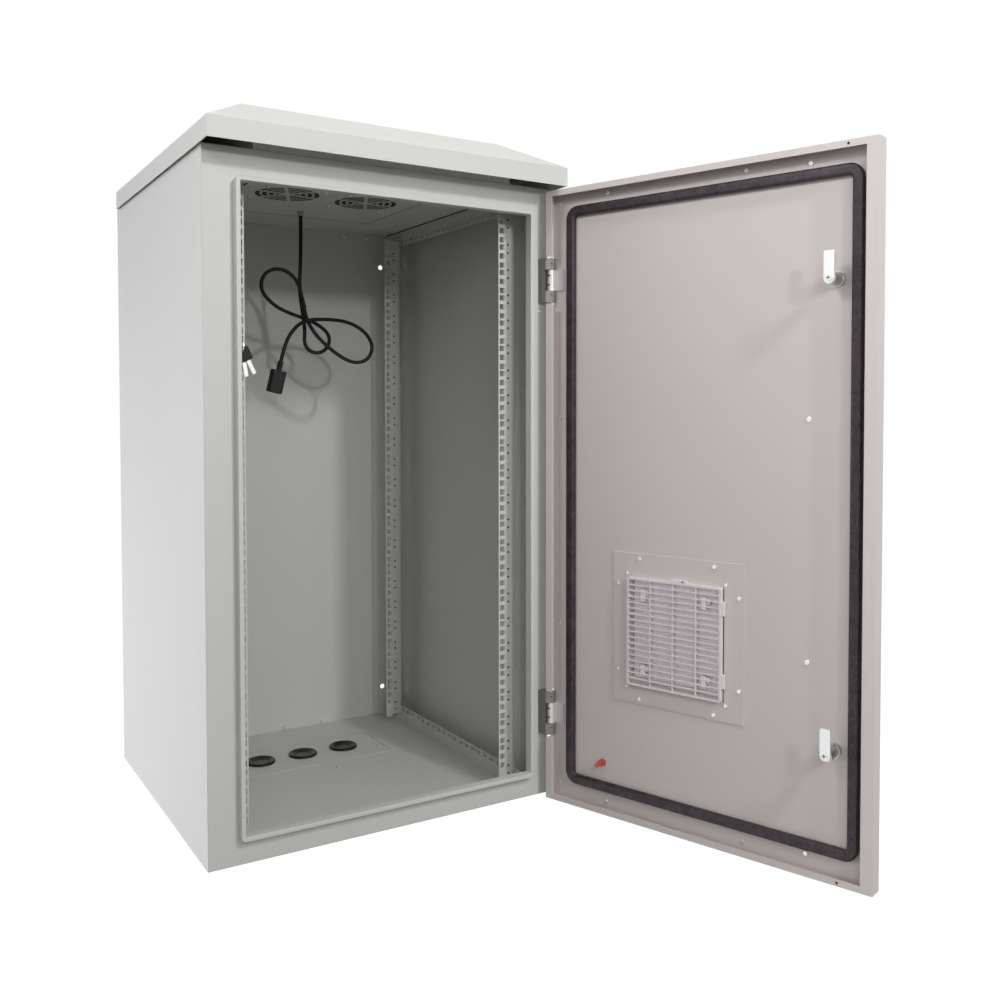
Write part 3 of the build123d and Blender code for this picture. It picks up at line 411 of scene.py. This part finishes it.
# Stage: floor, surroundings, lamps and camera
def seen_share(tree):
    """1 for rays that show the background: from the camera, off a glossy surface or through glass."""
    path = tree.nodes.new("ShaderNodeLightPath")
    total = path.outputs["Is Camera Ray"]
    for kind in ("Is Glossy Ray", "Is Transmission Ray"):
        add = tree.nodes.new("ShaderNodeMath")
        add.operation = "ADD"
        add.use_clamp = True
        tree.links.new(total, add.inputs[0])
        tree.links.new(path.outputs[kind], add.inputs[1])
        total = add.outputs[0]
    return total


def pick_by_ray(tree, unseen, seen, target):
    """One shader for the rays that light the object and another for the rays that show the background."""
    pick = tree.nodes.new("ShaderNodeMixShader")
    tree.links.new(seen_share(tree), pick.inputs["Fac"])
    tree.links.new(unseen.outputs[0], pick.inputs[1])
    tree.links.new(seen.outputs[0], pick.inputs[2])
    tree.links.new(pick.outputs[0], target.inputs["Surface"])


floor_size = 60
floor_z = -0.0005
floor_grey = (0.3, 0.3, 0.3, 1)
floor_glow = 0.96


def floor_material():
    """A grey floor that takes shadows, with a glow that makes it white where it is seen."""
    material = bpy.data.materials.new("floor_white")
    material.use_nodes = True
    tree = material.node_tree
    tree.nodes.remove(tree.nodes["Principled BSDF"])
    diffuse = tree.nodes.new("ShaderNodeBsdfDiffuse")
    diffuse.inputs["Color"].default_value = floor_grey
    glow = tree.nodes.new("ShaderNodeEmission")
    glow.inputs["Color"].default_value = white
    glow.inputs["Strength"].default_value = floor_glow
    both = tree.nodes.new("ShaderNodeAddShader")
    tree.links.new(diffuse.outputs[0], both.inputs[0])
    tree.links.new(glow.outputs[0], both.inputs[1])
    pick_by_ray(tree, diffuse, both, tree.nodes["Material Output"])
    return material


bpy.ops.mesh.primitive_plane_add(size=floor_size, location=(0, 0, floor_z))
floor = bpy.context.object
floor.name = "floor"
floor.data.materials.append(floor_material())

low_sky, high_sky = (0.76, 0.75, 0.75, 1), (0.01, 0.01, 0.01, 1)
high_sky_place = 0.8


def studio_world():
    """Light from the sides that fades upwards, and plain white where the background is seen."""
    world = bpy.data.worlds.new("studio")
    world.use_nodes = True
    tree = world.node_tree
    coord = tree.nodes.new("ShaderNodeTexCoord")
    parts = tree.nodes.new("ShaderNodeSeparateXYZ")
    ramp = tree.nodes.new("ShaderNodeValToRGB")
    low_stop, high_stop = ramp.color_ramp.elements
    low_stop.position = 0
    low_stop.color = low_sky
    high_stop.position = high_sky_place
    high_stop.color = high_sky
    sky = tree.nodes["Background"]
    tree.links.new(coord.outputs["Generated"], parts.inputs[0])
    tree.links.new(parts.outputs["Z"], ramp.inputs["Fac"])
    tree.links.new(ramp.outputs["Color"], sky.inputs["Color"])
    backdrop = tree.nodes.new("ShaderNodeBackground")
    backdrop.inputs["Color"].default_value = white
    pick_by_ray(tree, sky, backdrop, tree.nodes["World Output"])
    return world


scene.world = studio_world()


def lamp(name, place, aim, power, size, color=(1, 1, 1), spread=180, tall=None):
    """An area lamp at a place, turned towards a point."""
    data = bpy.data.lights.new(name, "AREA")
    data.energy = power
    data.shape = "RECTANGLE"
    data.size = size
    data.size_y = tall or size
    data.spread = math.radians(spread)
    data.color = color
    light = bpy.data.objects.new(name, data)
    light.location = place
    light.rotation_euler = (Vector(aim) - Vector(place)).to_track_quat("-Z", "Y").to_euler()
    scene.collection.objects.link(light)


side_tint = (1.0, 0.965, 1.03)
lamp("left_panel_light", (-3.0, 1.9, 0.35), (-0.3, 0.0, -0.15), power=12.8, size=1.0, color=side_tint,
     spread=70)
lamp("left_softbox", (-4.0, 1.6, 0.9), (-0.3, 0.0, 0.55), power=29, size=2.4, color=side_tint)
lamp("door_light", (-1.8, -0.75, 2.2), (0.40, -0.68, 1.05), power=1.55, size=0.5, spread=50)
lamp("fill_light", (-1.0, -2.7, 1.7), (0.1, 0.0, 0.6), power=8.5, size=0.8)
lamp("roof_light", (0.0, -0.6, 3.2), (0.0, -0.4, 0.5), power=19, size=1.5)
lamp("right_light", (0.568, -2.6, 2.19), (0.0, 0.0, 0.5), power=24.5, size=0.10, tall=0.24)
lamp("front_light", (0.16, -2.6, 1.38), (0.0, 0.0, 0.6), power=10, size=0.12)

# Camera: a pinhole fitted to the photograph, looking slightly down and to the right
camera_pitch, camera_roll, camera_yaw = -1.786, 0.012, -32.659
camera_data = bpy.data.cameras.new("camera")
camera_data.sensor_width = 36
camera_data.lens = 37.223
camera_data.shift_x = -0.0339
camera_data.shift_y = -0.0589
camera_data.clip_start = 0.01
camera = bpy.data.objects.new("camera", camera_data)
camera.location = (-0.70734, -1.82676, 0.68467)
camera.rotation_euler = [math.radians(angle) for angle in (90 + camera_pitch, camera_roll, camera_yaw)]
scene.collection.objects.link(camera)
scene.camera = camera
scene.view_settings.view_transform = "Standard"
